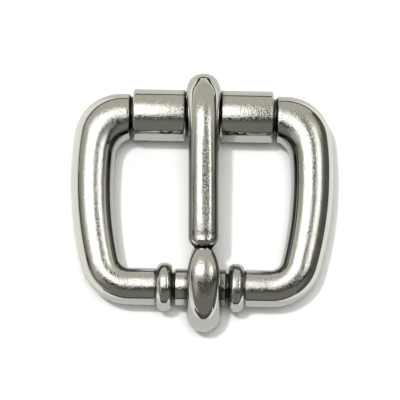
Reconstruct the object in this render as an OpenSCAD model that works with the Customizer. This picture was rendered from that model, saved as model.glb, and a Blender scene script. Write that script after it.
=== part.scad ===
// A cast belt buckle: a rounded frame, two sleeves that roll on its front bar, and a tongue
// whose eye turns on the heel bar. It lies on its back, with the heel bar towards -Y, and rests
// on the sleeves and on the flat back of the eye. Sizes are millimetres, angles degrees. Lengths
// in y count from the heel bar's axis towards the front bar, and heights from the plane of both
// axes.

/* [Frame] */
// Distance between the axes of the heel bar and the front bar
bar_pitch = 32.15; // [31.5:0.05:33]
// Half the distance between the centre lines of the side members, where they are widest
side_reach = 20.2; // [19.8:0.1:21]
// Distance from the heel bar at which the side members are widest
widest_y = 20; // [19:0.5:21]
// Radius of the long outward bow of each side member
side_bow_r = 65; // [60:1:75]
// Radius of the centre line round the two corners at the heel bar
heel_corner_r = 5.6; // [5:0.1:6]
// Radius of the outer edge round the two corners at the front bar
front_outer_r = 8.6; // [8.2:0.1:9]
// Radius of the inner edge round the same corners
front_inner_r = 3.8; // [3.6:0.1:4]
// How far the shoulders reach out past the front bar's axis
shoulder_out = 3.85; // [3.7:0.05:4]
// How far they would reach in towards the window, if their inner edge ran straight on
shoulder_in = 4.35; // [4.2:0.05:4.5]
// Distance from the middle to the flat end of each shoulder
shoulder_x = 13.45; // [13.3:0.05:13.8]
// Radius of the rounded edge round each shoulder's flat end
shoulder_edge_r = 0.5; // [0.3:0.1:0.8]

/* [Heel bar] */
// Radius of the heel bar
heel_bar_r = 3.37; // [3.2:0.01:3.5]
// Distance from the middle to the centre of each collar
collar_x = 6.62; // [6.5:0.01:6.7]
// Outside radius of each collar
collar_r = 4.4; // [4.2:0.05:4.6]
// Radius of each collar's round section
collar_bead_r = 1.42; // [1.38:0.01:1.46]
// Half the length of the land that the tongue turns on
land_half = 4.6; // [4.5:0.05:4.7]
// Radius of the bar at the bottom of the narrow grooves between land and collars
groove_r = 2.7; // [2.6:0.05:2.8]
// Bevel at both ends of the land
land_bevel = 0.3; // [0.2:0.05:0.4]

/* [Front bar and rollers] */
// Radius of the front bar inside the rollers
front_bar_r = 3.37; // [3.2:0.01:3.5]
// Radius of the raised rest in the middle of the front bar
rest_r = 3.95; // [3.8:0.05:4]
// Length of the raised rest, which keeps the rollers apart
rest_len = 5.8; // [5.6:0.05:5.9]
// Outside radius of each roller
roller_r = 4.77; // [4.7:0.01:4.9]
// Length of each roller
roller_len = 9.75; // [9.5:0.05:9.8]
// Distance between the two rollers
roller_gap = 6.35; // [6.25:0.05:6.4]
// How far both rollers have slid along their bar, to the right where more than zero
roller_slide = -0.075; // [-0.1:0.025:0.1]
// Radial clearance between roller and front bar
roller_clear = 0.1; // [0.05:0.01:0.1]
// Radius of the rounded edges at a roller's ends
roller_edge_r = 0.45; // [0.3:0.05:0.5]

/* [Tongue] */
// How far the eye sits to the right of the middle of the heel bar
eye_shift = 0.62; // [0.4:0.01:0.7]
// How far the tongue leans to the left, so that its tip lies midway between the rollers
tongue_lean = 1.1; // [0.7:0.1:1.2]
// Radial clearance between the eye and the heel bar
eye_clear = 0.1; // [0.05:0.01:0.1]
// Half the width of the tongue's shaft
shaft_half_w = 2.76; // [2.7:0.01:2.8]
// Radius of the rounded edge across the end of the shaft over the eye
step_edge_r = 1.3; // [1:0.05:1.4]
// Radius of the two rounded corners at that end, seen from above
step_corner_r = 1.9; // [1.5:0.1:2.2]
// Half the width of the tongue's tip
tip_half_w = 3.18; // [3.1:0.01:3.2]
// Distance from the heel bar at which the tip is widest
tip_widest_y = 36.2; // [36:0.1:36.4]
// Radius of the rounded end of the tip, seen from the side
nose_r = 3.8; // [3.7:0.05:3.9]
// Distance from the heel bar to the centre of that rounded end
nose_y = 35.84; // [35.7:0.01:36]
// Height of the centre of that rounded end
nose_z = 2.03; // [1.9:0.01:2.1]
// Height of the lowest point of the tip, in front of the front bar
nose_low_z = 0.25; // [0.2:0.05:0.5]
// Clearance round the front bar's rest inside the curl of the tip
seat_clear = 0.08; // [0.05:0.01:0.1]

/* [Hidden] */
steel = [0.66, 0.66, 0.63];
bright_steel = [0.74, 0.74, 0.71];
overlap = 0.5;

// The side member's centre line at the heel: a corner that is tangent to the long bow.
bow_cx = side_reach - side_bow_r;
heel_corner_cx = bow_cx + sqrt(pow(side_bow_r - heel_corner_r, 2) - pow(widest_y - heel_corner_r, 2));
heel_turn = asin((widest_y - heel_corner_r) / (side_bow_r - heel_corner_r));

// Where the side member's tube starts, hidden inside the collar.
tube_start_x = collar_x + overlap;
TUBE_SIDES = 32;

// Radius of the side member along its centre line. Columns: place, radius. The place counts
// 0 to 1 round the heel corner and 1 to 2 along the bow. From 2 to 3, round the front corner,
// the table gives only half the height, and the corner's outer and inner edge give the width.
TUBE_RADIUS = [
    [0.0, heel_bar_r],
    [0.6, 3.52],
    [1.0, 3.64],
    [1.3, 3.76],
    [1.6, 3.87],
    [2.0, 3.98],
    [2.5, 4.25],
    [3.0, 4.10]
];
HEEL_STEPS = 8;
BOW_STEPS = 14;
FRONT_STEPS = 14;

// The tongue's shaft seen from the side. Columns: y, top, underside, half width. The top is
// lower and level near the shaft's end over the eye, and highest just before the front bar.
SHAFT = [
    [6.38, 7.05, 2.95, shaft_half_w],
    [7.60, 7.07, 3.05, shaft_half_w],
    [8.05, 7.09, 3.08, shaft_half_w],
    [8.45, 7.15, 3.12, shaft_half_w],
    [9.15, 7.32, 3.19, shaft_half_w],
    [9.90, 7.46, 3.24, shaft_half_w],
    [11.0, 7.63, 3.30, shaft_half_w],
    [15.0, 7.88, 3.52, shaft_half_w],
    [20.0, 8.30, 3.82, shaft_half_w],
    [25.0, 8.50, 4.02, shaft_half_w],
    [28.5, 8.50, 4.03, 2.78],
    [31.5, 8.22, 3.95, 2.84],
    [34.0, 7.52, 2.60, 3.02],
    [tip_widest_y, 6.48, 0.60, tip_half_w],
    [38.3, 4.92, nose_low_z, 2.60]
];

// The tongue's eye round the heel bar's axis, from the y axis upwards. Columns: angle, outside
// radius, half width, depth of the rounded outer face. The back is flat at the rollers' height.
EYE = [
    [0, 7.20, 1.70, 1.4],
    [20, 8.30, 1.80, 1.5],
    [35, 8.90, 2.05, 1.7],
    [50, 8.86, 2.45, 1.9],
    [65, 8.50, 2.86, 2.0],
    [77, 8.24, 2.97, 2.1],
    [89, 7.78, 3.00, 2.2],
    [102, 7.44, 3.02, 2.4],
    [117, 7.32, 3.04, 2.7],
    [142, 7.46, 3.10, 3.1],
    [160, 7.76, 3.13, 3.4],
    [180, 8.16, 3.14, 3.5],
    [200, 7.98, 3.14, 3.1],
    [225, 6.75, 3.12, 2.0],
    [245, 5.50, 3.10, 1.0],
    [270, 5.10, 3.08, 0.7],
    [300, 5.50, 2.80, 0.9],
    [330, 6.20, 2.20, 1.2],
    [360, 7.20, 1.70, 1.4]
];
EYE_STEP = 6;

// The eye is drawn closed in to this radius, and its bore is cut out afterwards.
ring_inner_r = 2.6;

// How far the eye reaches out at the heel, straight away from the front bar.
eye_heel_r = EYE[11][1];

// Number of points round each section of the tongue.
SECTION_POINTS = 24;

// Section of the shaft: how high its widest place lies, as a share of its depth, how far the
// underside draws in, and the powers that square off the underside's width and depth.
waist_share = 0.46;
under_draw_in = 0.12;
under_width_power = 0.7;
under_depth_power = 0.8;

// How much of the rounding at the shaft's end its underside gets.
end_under_share = 0.6;

// Powers that square off the inner half of the eye's section, towards the bore.
bore_width_power = 0.4;
bore_depth_power = 0.6;

// The whole part lies over the middle of its own footprint.
footprint_mid_y = (nose_y + nose_r - eye_heel_r) / 2;

// Slope of column c of a table at row i, for a smooth curve through its rows.
function row_slope(t, i, c) =
    let (a = max(i - 1, 0), b = min(i + 1, len(t) - 1))
    (t[b][c] - t[a][c]) / (t[b][0] - t[a][0]);

// The row of a table after which x lies.
function row_before(t, x, i = 0) = i >= len(t) - 2 || x < t[i + 1][0] ? i : row_before(t, x, i + 1);

// Column c of a table at x, on a smooth curve through its rows.
function smooth(t, x, c) =
    let (i = row_before(t, x))
    let (span = t[i + 1][0] - t[i][0])
    let (s = (x - t[i][0]) / span)
    t[i][c] * (2 * s * s * s - 3 * s * s + 1)
        + t[i + 1][c] * (3 * s * s - 2 * s * s * s)
        + row_slope(t, i, c) * span * (s * s * s - 2 * s * s + s)
        + row_slope(t, i + 1, c) * span * (s * s * s - s * s);

// How far a rounded edge of radius r draws back at distance d from the end.
function edge_inset(d, r) = d >= r ? 0 : r - sqrt(max(r * r - (r - d) * (r - d), 0));

// Power that keeps its sign.
function signed_pow(v, p) = sign(v) * pow(abs(v), p);

// A point on a circle.
function on_circle(centre, r, a) = [centre[0] + r * cos(a), centre[1] + r * sin(a)];

// A front corner's edge, tangent to a bow and to a straight edge along x at edge_y: the middle
// of its arc, and the direction in which it leaves the bow.
function corner_arc(edge_y, bow_r, corner_r) =
    let (turn = asin((edge_y - corner_r - widest_y) / (bow_r - corner_r)))
    [bow_cx + (bow_r - corner_r) * cos(turn), edge_y - corner_r, turn];

// Both edges of the front corner. The inner one ends on its arc, where the shoulder's rounded
// end begins, and the outer one goes on straight to the same x.
side_r = TUBE_RADIUS[5][1];
shoulder_end_x = shoulder_x + shoulder_edge_r;
inner_arc = corner_arc(bar_pitch - shoulder_in, side_bow_r - side_r, front_inner_r);
outer_arc = corner_arc(bar_pitch + shoulder_out, side_bow_r + side_r, front_outer_r);
inner_last = acos((shoulder_end_x - inner_arc[0]) / front_inner_r);
bow_run = (side_bow_r + side_r) * (outer_arc[2] - inner_arc[2]) * PI / 180;
arc_run = front_outer_r * (90 - outer_arc[2]) * PI / 180;
straight_run = outer_arc[0] - shoulder_end_x;

// The angle of an arc of radius r that is run long.
function arc_angle(run, r) = 180 / PI * run / r;

// A point on the front corner's outer edge, at a share of its length from the bow.
function outer_edge(share) =
    let (run = share * (bow_run + arc_run + straight_run), bow_r = side_bow_r + side_r)
    run < bow_run ? on_circle([bow_cx, widest_y], bow_r, inner_arc[2] + arc_angle(run, bow_r))
    : let (left = run - bow_run)
    left < arc_run ? on_circle(outer_arc, front_outer_r, outer_arc[2] + arc_angle(left, front_outer_r))
    : [outer_arc[0] - (left - arc_run), bar_pitch + shoulder_out];

// A point on its inner edge, at a share of the inner arc.
function inner_edge(share) =
    on_circle(inner_arc, front_inner_r, inner_arc[2] + share * (inner_last - inner_arc[2]));

// A point on the side member's centre line up to the front corner, and its outward direction.
function tube_station(place) =
    place < 1 ? let (a = -90 + place * (90 - heel_turn))
        concat(on_circle([heel_corner_cx, heel_corner_r], heel_corner_r, a), a)
    : let (a = -heel_turn + (place - 1) * (heel_turn + inner_arc[2]))
        concat(on_circle([bow_cx, widest_y], side_bow_r, a), a);

// A ring of points round the side member. The turn is the outward direction in the frame's plane.
function tube_ring(x, y, turn, half_w, half_h) =
    [for (k = [0:TUBE_SIDES - 1]) let (a = 360 * k / TUBE_SIDES)
        [x + half_w * cos(a) * cos(turn), y + half_w * cos(a) * sin(turn), half_h * sin(a)]];

// Side faces between rings of n points, and end caps unless the rings close on themselves.
function skin_faces(rings, n, closed) = concat(
    [for (i = [0:rings - (closed ? 1 : 2)], k = [0:n - 1])
        let (j = (i + 1) % rings, m = (k + 1) % n)
        each [[i * n + k, j * n + m, j * n + k], [i * n + k, i * n + m, j * n + m]]],
    closed ? [] : [[for (k = [n - 1:-1:0]) k], [for (k = [0:n - 1]) (rings - 1) * n + k]]
);

module skin(rings, closed = false) {
    polyhedron(
        points = [for (ring = rings) each ring],
        faces = skin_faces(len(rings), len(rings[0]), closed),
        convexity = 6
    );
}

// One side member with its two corners, from inside the collar to the shoulder's flat end.
module side_member() {
    places = concat([for (i = [0:HEEL_STEPS]) i / HEEL_STEPS], [for (i = [1:BOW_STEPS]) 1 + i / BOW_STEPS]);
    bend = [for (p = places) let (s = tube_station(p), r = smooth(TUBE_RADIUS, p, 1))
        tube_ring(s[0], s[1], s[2], r, r)];
    corner = [for (i = [1:FRONT_STEPS])
        let (share = i / FRONT_STEPS, outer = outer_edge(share), inner = inner_edge(share))
        let (middle = (outer + inner) / 2, across = outer - inner)
        tube_ring(
            middle[0], middle[1], atan2(across[1], across[0]),
            norm(across) / 2, smooth(TUBE_RADIUS, 2 + share, 1)
        )];
    end_y = (outer_edge(1)[1] + inner_edge(1)[1]) / 2;
    end_half_w = (outer_edge(1)[1] - inner_edge(1)[1]) / 2;
    end_half_h = TUBE_RADIUS[len(TUBE_RADIUS) - 1][1];
    end_rings = [for (a = [30:30:90])
        let (x = shoulder_end_x - shoulder_edge_r * sin(a), inset = shoulder_edge_r * (1 - cos(a)))
        tube_ring(x, end_y, 90, end_half_w - inset, end_half_h - inset)];
    skin(concat([tube_ring(tube_start_x, 0, -90, heel_bar_r, heel_bar_r)], bend, corner, end_rings));
}

// A cylinder along x, centred on the middle.
module bar(r, length) {
    rotate([0, 90, 0])
        cylinder(r = r, h = length, center = true, $fn = 96);
}

// A cylinder along x with bevelled ends, centred on the middle.
module bevelled_bar(r, length, bevel) {
    rotate([0, 90, 0])
        rotate_extrude($fn = 96)
            polygon([
                [0, -length / 2],
                [r - bevel, -length / 2],
                [r, -length / 2 + bevel],
                [r, length / 2 - bevel],
                [r - bevel, length / 2],
                [0, length / 2]
            ]);
}

module collar() {
    rotate([0, 90, 0])
        rotate_extrude($fn = 96)
            translate([collar_r - collar_bead_r, 0])
                circle(r = collar_bead_r, $fn = 64);
}

module frame() {
    color(steel)
        place_part() {
            side_member();
            mirror([1, 0, 0])
                side_member();
            bar(groove_r, 2 * (tube_start_x + overlap));
            bevelled_bar(heel_bar_r, 2 * land_half, land_bevel);
            for (side = [-1, 1])
                translate([side * collar_x, 0, 0])
                    collar();
            translate([0, bar_pitch, 0]) {
                bar(front_bar_r, 2 * (shoulder_x + overlap));
                bevelled_bar(rest_r, rest_len, land_bevel);
            }
        }
}

// Section of a roller's wall along its length, with rounded outer edges.
module roller_wall() {
    bore_r = front_bar_r + roller_clear;
    round_x = roller_r - roller_edge_r;
    translate([bore_r, 0])
        square([round_x - bore_r, roller_len]);
    translate([bore_r, roller_edge_r])
        square([roller_r - bore_r, roller_len - 2 * roller_edge_r]);
    for (end = [roller_edge_r, roller_len - roller_edge_r])
        translate([round_x, end])
            circle(r = roller_edge_r, $fn = 48);
}

// A roller whose left end lies at x.
module roller(x) {
    translate([x + roller_slide, bar_pitch, 0])
        rotate([0, 90, 0])
            rotate_extrude($fn = 96)
                roller_wall();
}

module roller_left() {
    color(bright_steel)
        place_part()
            roller(-roller_gap / 2 - roller_len);
}

module roller_right() {
    color(bright_steel)
        place_part()
            roller(roller_gap / 2);
}

// A slice of the shaft across y: an arched top, and a flatter underside that draws in below.
function shaft_slice(y, top, low, half_w) =
    let (waist = low + waist_share * (top - low))
    [for (k = [0:SECTION_POINTS - 1]) let (a = 360 * k / SECTION_POINTS)
        let (up = sin(a) >= 0, across = up ? cos(a) : signed_pow(cos(a), under_width_power))
        let (draw_in = up ? 1 : 1 - under_draw_in * abs(sin(a)))
        [
            half_w * across * draw_in,
            y,
            up ? waist + (top - waist) * sin(a) : waist - (waist - low) * pow(abs(sin(a)), under_depth_power)
        ]];

// Slices of the shaft's rounded end over the eye. The underside is rounded less than the top.
function shaft_end() =
    [for (d = [0.02, 0.1, 0.25, 0.5, 0.8, 1.1, 1.4, 1.9])
        let (y = SHAFT[0][0] + d, e = edge_inset(d, step_edge_r))
        shaft_slice(
            y, smooth(SHAFT, y, 1) - e, smooth(SHAFT, y, 2) + end_under_share * e,
            shaft_half_w - edge_inset(d, step_corner_r)
        )];

// Slices of the shaft from there to where the nose begins.
function shaft_body() =
    [for (y = [8.5, 8.8, 9.15, 9.9, 10.8, 12, 14.5, 17, 20, 22, 24, 25.5, 27, 28.5,
        30, 31.5, 33, 34, 35, 36, 37, 37.8])
        shaft_slice(y, smooth(SHAFT, y, 1), smooth(SHAFT, y, 2), smooth(SHAFT, y, 3))];

// Slices round the nose, which closes on itself at the tongue's far end.
function shaft_nose() =
    [for (a = [42, 50, 58, 66, 73, 79, 84, 87, 89])
        let (y = nose_y + nose_r * sin(a), reach = nose_y + nose_r - tip_widest_y)
        let (shrink = sqrt(1 - pow((y - tip_widest_y) / reach, 2)))
        shaft_slice(
            y, nose_z + nose_r * cos(a),
            nose_z - (nose_z - nose_low_z) * sqrt(shrink), tip_half_w * shrink
        )];

// A slice of the eye at an angle round the heel bar's axis, with a rounded outer face.
function eye_slice(angle) =
    let (out_r = smooth(EYE, angle, 1), half_w = smooth(EYE, angle, 2), depth = smooth(EYE, angle, 3))
    let (side_r = out_r - depth)
    [for (k = [0:SECTION_POINTS - 1]) let (a = 360 * k / SECTION_POINTS)
        let (up = sin(a) >= 0)
        let (across = half_w * (up ? cos(a) : signed_pow(cos(a), bore_width_power)))
        let (wall = side_r - ring_inner_r)
        let (r = side_r + (up ? depth * sin(a) : wall * signed_pow(sin(a), bore_depth_power)))
        [across, r * cos(angle), r * sin(angle)]];

module tongue_body() {
    skin(concat(shaft_end(), shaft_body(), shaft_nose()));
    skin([for (angle = [360:-EYE_STEP:1]) eye_slice(angle)], closed = true);
}

module tongue() {
    color(steel)
        place_part()
            difference() {
                translate([eye_shift, 0, 0])
                    rotate([0, 0, tongue_lean])
                        tongue_body();
                bar(heel_bar_r + eye_clear, 4 * land_half);
                translate([0, bar_pitch, 0])
                    bar(rest_r + seat_clear, 4 * land_half);
                translate([0, 0, -3 * roller_r])
                    cube(4 * roller_r, center = true);
            }
}

// Sets the part down on its rollers, over the middle of its footprint.
module place_part() {
    translate([0, -footprint_mid_y, roller_r])
        children();
}

frame();
roller_left();
roller_right();
tongue();
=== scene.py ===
"""Looks of a cast roller buckle lying on its back: frame, two rollers and tongue in satin metal.

The buckle's sizes are millimetres, measured from the heel bar's axis in the plane of the two bars.
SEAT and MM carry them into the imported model's frame, in metres. The studio's sizes are metres.
"""

from __future__ import annotations

import logging
import math
from dataclasses import dataclass
from enum import Enum
from typing import Callable

import bmesh
import bpy
from mathutils import Matrix, Vector

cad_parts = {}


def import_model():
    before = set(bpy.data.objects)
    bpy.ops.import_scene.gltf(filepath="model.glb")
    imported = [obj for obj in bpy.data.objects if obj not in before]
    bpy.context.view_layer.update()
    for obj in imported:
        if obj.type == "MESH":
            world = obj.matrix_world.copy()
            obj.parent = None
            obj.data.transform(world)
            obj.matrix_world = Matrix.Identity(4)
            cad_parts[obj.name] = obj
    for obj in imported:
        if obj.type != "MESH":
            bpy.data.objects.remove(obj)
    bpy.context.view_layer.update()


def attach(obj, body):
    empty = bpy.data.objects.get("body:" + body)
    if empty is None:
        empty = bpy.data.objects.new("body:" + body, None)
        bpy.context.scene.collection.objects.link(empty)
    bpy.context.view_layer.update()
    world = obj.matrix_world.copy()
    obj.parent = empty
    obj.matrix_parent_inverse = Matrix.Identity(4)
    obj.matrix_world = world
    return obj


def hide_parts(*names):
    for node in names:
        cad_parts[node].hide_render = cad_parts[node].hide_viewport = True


LOG = logging.getLogger("roller_buckle")
MM = 0.001
PICTURE_PX = 400
Colour = tuple[float, float, float, float]
Pair = tuple[float, float]
Socket = bpy.types.NodeSocket
Value = Socket | float | tuple[float, ...]


class Axis(Enum):
    """Axis that a ring of edges is turned about."""

    X = "X"
    Z = "Z"


class Kind(Enum):
    """Kind of number that a socket carries."""

    VALUE = "NodeSocketFloat"
    COLOUR = "NodeSocketColor"
    VECTOR = "NodeSocketVector"


class Rise(Enum):
    """How a ramp rises from one value to another."""

    STRAIGHT = "LINEAR"
    SMOOTH = "SMOOTHSTEP"


@dataclass(frozen=True)
class Seat:
    """Where the heel bar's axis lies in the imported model, and how far off the front bar's is."""

    y: float = -15.74
    z: float = 4.77
    pitch: float = 32.15

    def heel(self, x: float = 0.0) -> Vector:
        """Point of the heel bar's axis at x."""
        return Vector((x, self.y, self.z))

    def front(self, x: float = 0.0) -> Vector:
        """Point of the front bar's axis at x."""
        return Vector((x, self.y + self.pitch, self.z))


SEAT = Seat()


def clear_selection() -> None:
    """Leave edit mode and deselect every object."""
    if bpy.context.object is not None and bpy.context.object.mode != "OBJECT":
        bpy.ops.object.mode_set(mode="OBJECT")
    bpy.ops.object.select_all(action="DESELECT")


def ray(degrees: float) -> Vector:
    """Unit vector in the plane of the bars, at an angle from +X towards +Y."""
    return Vector((math.cos(math.radians(degrees)), math.sin(math.radians(degrees))))


def rounded(points: list[tuple[float, float, float]], steps: int = 5) -> list[Pair]:
    """Round the corners of an open outline.

    Args:
        points: Corners as (along, out, radius of the rounding).
        steps: Number of steps in each rounding.

    Returns:
        Points (along, out) of the rounded outline.
    """
    out: list[Pair] = []
    for i, (a, b, r) in enumerate(points):
        here = Vector((a, b))
        if i in (0, len(points) - 1) or r <= 0:
            out.append((a, b))
            continue
        back = (Vector(points[i - 1][:2]) - here).normalized()
        on = (Vector(points[i + 1][:2]) - here).normalized()
        half = back.angle(on) / 2
        reach = r / math.tan(half)
        centre = here + (back + on).normalized() * (r / math.sin(half))
        start, end = here + back * reach - centre, here + on * reach - centre
        for k in range(steps + 1):
            p = start.slerp(end, k / steps) * r + centre
            out.append((p.x, p.y))
    return out


def smooth_row(rows: list[tuple[float, ...]], x: float) -> tuple[float, ...]:
    """Read a table of measurements at x, on a smooth curve through its rows.

    Args:
        rows: Rows whose first column rises; the others are read.
        x: Place in the first column.

    Returns:
        The other columns at x.
    """
    last = len(rows) - 1
    i = max(0, min(last - 1, sum(1 for r in rows if r[0] <= x) - 1))
    a, b = rows[i], rows[i + 1]
    before, after = rows[max(i - 1, 0)], rows[min(i + 2, last)]
    span = b[0] - a[0]
    s = (x - a[0]) / span
    found = []
    for c in range(1, len(a)):
        slope_a = (b[c] - before[c]) / (b[0] - before[0]) * span
        slope_b = (after[c] - a[c]) / (after[0] - a[0]) * span
        found.append(
            a[c] * (2 * s**3 - 3 * s**2 + 1)
            + b[c] * (3 * s**2 - 2 * s**3)
            + slope_a * (s**3 - 2 * s**2 + s)
            + slope_b * (s**3 - s**2)
        )
    return tuple(found)


def dress(piece: bpy.types.Object, finish: bpy.types.Material) -> None:
    """Give a piece one finish all over."""
    piece.data.materials.clear()
    piece.data.materials.append(finish)


class RingSkin:
    """A skin drawn out ring by ring in edit mode, from one circle of edges.

    Its places and sizes are millimetres.
    """

    def __init__(self, name: str, sides: int, radius: float, centre: Vector, facing: Axis) -> None:
        """Add the first ring.

        Args:
            name: Name of the new piece.
            sides: Number of edges in a ring.
            radius: Radius of the first ring.
            centre: Its centre.
            facing: Axis.Z for a ring that faces along X, Axis.X for one that faces along Y.
        """
        clear_selection()
        quarter = math.pi / 2
        turn = (0.0, quarter, 0.0) if facing is Axis.Z else (quarter, 0.0, 0.0)
        bpy.ops.mesh.primitive_circle_add(
            vertices=sides, radius=radius * MM, fill_type="NOTHING", location=centre * MM, rotation=turn
        )
        self.piece = bpy.context.object
        self.piece.name = self.piece.data.name = name
        bpy.ops.object.transform_apply(location=True, rotation=True, scale=True)
        bpy.ops.object.mode_set(mode="EDIT")
        bpy.ops.mesh.select_mode(type="VERT")
        bpy.ops.mesh.select_all(action="SELECT")
        self.width = self.height = radius
        self.centre = centre.copy()
        self.heading = 0.0

    def draw(self, step: Vector) -> None:
        """Extrude the ring by a step."""
        bpy.ops.mesh.extrude_region_move(TRANSFORM_OT_translate={"value": step * MM})

    def turn(self, degrees: float, axis: Axis, about: Vector) -> None:
        """Turn the ring about an axis through a point, by the right-hand rule."""
        bpy.ops.transform.rotate(
            value=-math.radians(degrees),
            orient_axis=axis.value,
            orient_type="GLOBAL",
            center_override=about * MM,
        )

    def swell(self, factors: tuple[float, float, float], about: Vector) -> None:
        """Scale the ring about a point."""
        bpy.ops.transform.resize(value=factors, orient_type="GLOBAL", center_override=about * MM)

    def shift(self, step: Vector) -> None:
        """Move the selected part of the ring by a step."""
        bpy.ops.transform.translate(value=step * MM, orient_type="GLOBAL")

    def station(self, centre: Vector, heading: float, width: float, height: float | None = None) -> None:
        """Draw the ring on to the next station of a tube that bends about Z.

        Args:
            centre: Centre of the new ring.
            heading: Direction of travel in degrees from +X towards +Y.
            width: Half the tube's width there.
            height: Half its height, or None where it is round.
        """
        height = width if height is None else height
        self.draw(centre - self.centre)
        if abs(heading - self.heading) > 1e-6:
            self.turn(heading - self.heading, Axis.Z, centre)
        wider = width / self.width
        self.swell((wider, wider, height / self.height), centre)
        self.centre, self.heading, self.width, self.height = centre.copy(), heading, width, height

    def pick(self, test: Callable[[bmesh.types.BMVert], bool]) -> None:
        """Select the vertices that pass a test, and no others.

        Args:
            test: True for a vertex to select.
        """
        mesh = bmesh.from_edit_mesh(self.piece.data)
        for v in mesh.verts:
            v.select = test(v)
        mesh.select_flush_mode()
        bmesh.update_edit_mesh(self.piece.data)

    def keep_selected(self, test: Callable[[Vector], bool]) -> None:
        """Deselect the selected vertices whose place in millimetres fails a test."""
        self.pick(lambda v: v.select and test(v.co / MM))

    def select(self, numbers: list[int]) -> None:
        """Select vertices by number."""
        wanted = set(numbers)
        self.pick(lambda v: v.index in wanted)

    def ring(self) -> list[int]:
        """Numbers of the selected vertices."""
        return [v.index for v in bmesh.from_edit_mesh(self.piece.data).verts if v.select]

    def close(self) -> None:
        """Draw the last ring together into one point."""
        bpy.ops.mesh.merge(type="CENTER")

    def done(self, sharp: float = 38.0) -> bpy.types.Object:
        """Weld what meets, point the faces outwards and shade the skin.

        Args:
            sharp: Angle in degrees past which an edge stays sharp.

        Returns:
            The finished piece.
        """
        bpy.ops.mesh.select_all(action="SELECT")
        bpy.ops.mesh.remove_doubles(threshold=2e-7)
        bpy.ops.mesh.normals_make_consistent(inside=False)
        bpy.ops.object.mode_set(mode="OBJECT")
        bpy.ops.object.shade_smooth_by_angle(angle=math.radians(sharp))
        return self.piece


class Wiring:
    """Adds nodes to a shader node tree and links them."""

    def __init__(self, tree: bpy.types.NodeTree) -> None:
        """Work in a node tree."""
        self.nodes, self.links = tree.nodes, tree.links

    def feed(self, slot: Socket, value: Value) -> None:
        """Link a socket to an input, or set the input to a plain value.

        Args:
            slot: The input.
            value: What it gets.
        """
        if isinstance(value, Socket):
            self.links.new(value, slot)
        else:
            slot.default_value = value

    def coords(self, kind: str) -> Socket:
        """Texture coordinates of a kind."""
        return self.nodes.new("ShaderNodeTexCoord").outputs[kind]

    def parts(self, vector: Socket) -> tuple[Socket, ...]:
        """Split a vector.

        Args:
            vector: The vector.

        Returns:
            Its x, y and z.
        """
        node = self.nodes.new("ShaderNodeSeparateXYZ")
        self.links.new(vector, node.inputs[0])
        return tuple(node.outputs)

    def math(self, operation: str, *values: Value) -> Socket:
        """Add a Math node.

        Args:
            operation: What it does.
            values: Its inputs in order.

        Returns:
            Its result.
        """
        node = self.nodes.new("ShaderNodeMath")
        node.operation = operation
        for slot, value in zip(node.inputs, values):
            self.feed(slot, value)
        return node.outputs[0]

    def product(self, *masks: Value) -> Socket:
        """Multiply masks with each other.

        Args:
            masks: The masks.

        Returns:
            Their product.
        """
        result, *others = masks
        for other in others:
            result = self.math("MULTIPLY", result, other)
        return result

    def ramp(
        self, value: Socket, places: Pair, ends: Pair = (0.0, 1.0), rise: Rise = Rise.SMOOTH
    ) -> Socket:
        """Rise or fall between two places, and stay level outside them.

        Args:
            value: The place that is looked at.
            places: Where the ramp starts and ends; the first may be the larger.
            ends: Its values at those places.
            rise: How it goes from one to the other.

        Returns:
            The value on the ramp.
        """
        (low, at_low), (high, at_high) = sorted(zip(places, ends))
        node = self.nodes.new("ShaderNodeMapRange")
        node.interpolation_type = rise.value
        for title, number in (("From Min", low), ("From Max", high), ("To Min", at_low), ("To Max", at_high)):
            node.inputs[title].default_value = number
        self.links.new(value, node.inputs["Value"])
        return node.outputs["Result"]

    def noise(self, place: Socket, scale: Value, detail: float) -> Socket:
        """Add smooth noise.

        Args:
            place: Where it is read.
            scale: Number of its waves to the metre.
            detail: Number of finer layers.

        Returns:
            Its value.
        """
        node = self.nodes.new("ShaderNodeTexNoise")
        node.inputs["Detail"].default_value = detail
        self.feed(node.inputs["Scale"], scale)
        self.links.new(place, node.inputs["Vector"])
        return node.outputs["Fac"]

    def blend(self, mask: Value, one: Value, other: Value, kind: Kind = Kind.VALUE) -> Socket:
        """Go over from one value or colour to another.

        Args:
            mask: 0 for the one, 1 for the other.
            one: The one.
            other: The other.
            kind: Kind.VALUE or Kind.COLOUR.

        Returns:
            What lies between them.
        """
        node = self.nodes.new("ShaderNodeMix")
        node.data_type = "RGBA" if kind is Kind.COLOUR else "FLOAT"
        for title, value in (("Factor", mask), ("A", one), ("B", other)):
            self.feed(node.inputs[title], value)
        return node.outputs["Result"]

    def scaled(self, colour: Value, by: Value) -> Socket:
        """Multiply a colour by a value.

        Args:
            colour: The colour.
            by: The value.

        Returns:
            Their product.
        """
        node = self.nodes.new("ShaderNodeVectorMath")
        node.operation = "SCALE"
        self.feed(node.inputs[0], colour)
        self.feed(node.inputs["Scale"], by)
        return node.outputs[0]

    def darkened(self, colour: Value, mask: Value) -> Socket:
        """Darken a colour to black where a mask is 1."""
        return self.scaled(colour, self.math("SUBTRACT", 1.0, mask))

    def effect(self, group: bpy.types.NodeTree, **values: Value) -> bpy.types.bpy_prop_collection:
        """Place a node group.

        Args:
            group: The group.
            values: Its inputs by name.

        Returns:
            Its outputs.
        """
        node = self.nodes.new("ShaderNodeGroup")
        node.node_tree = group
        for title, value in values.items():
            self.feed(node.inputs[title], value)
        return node.outputs


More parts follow.
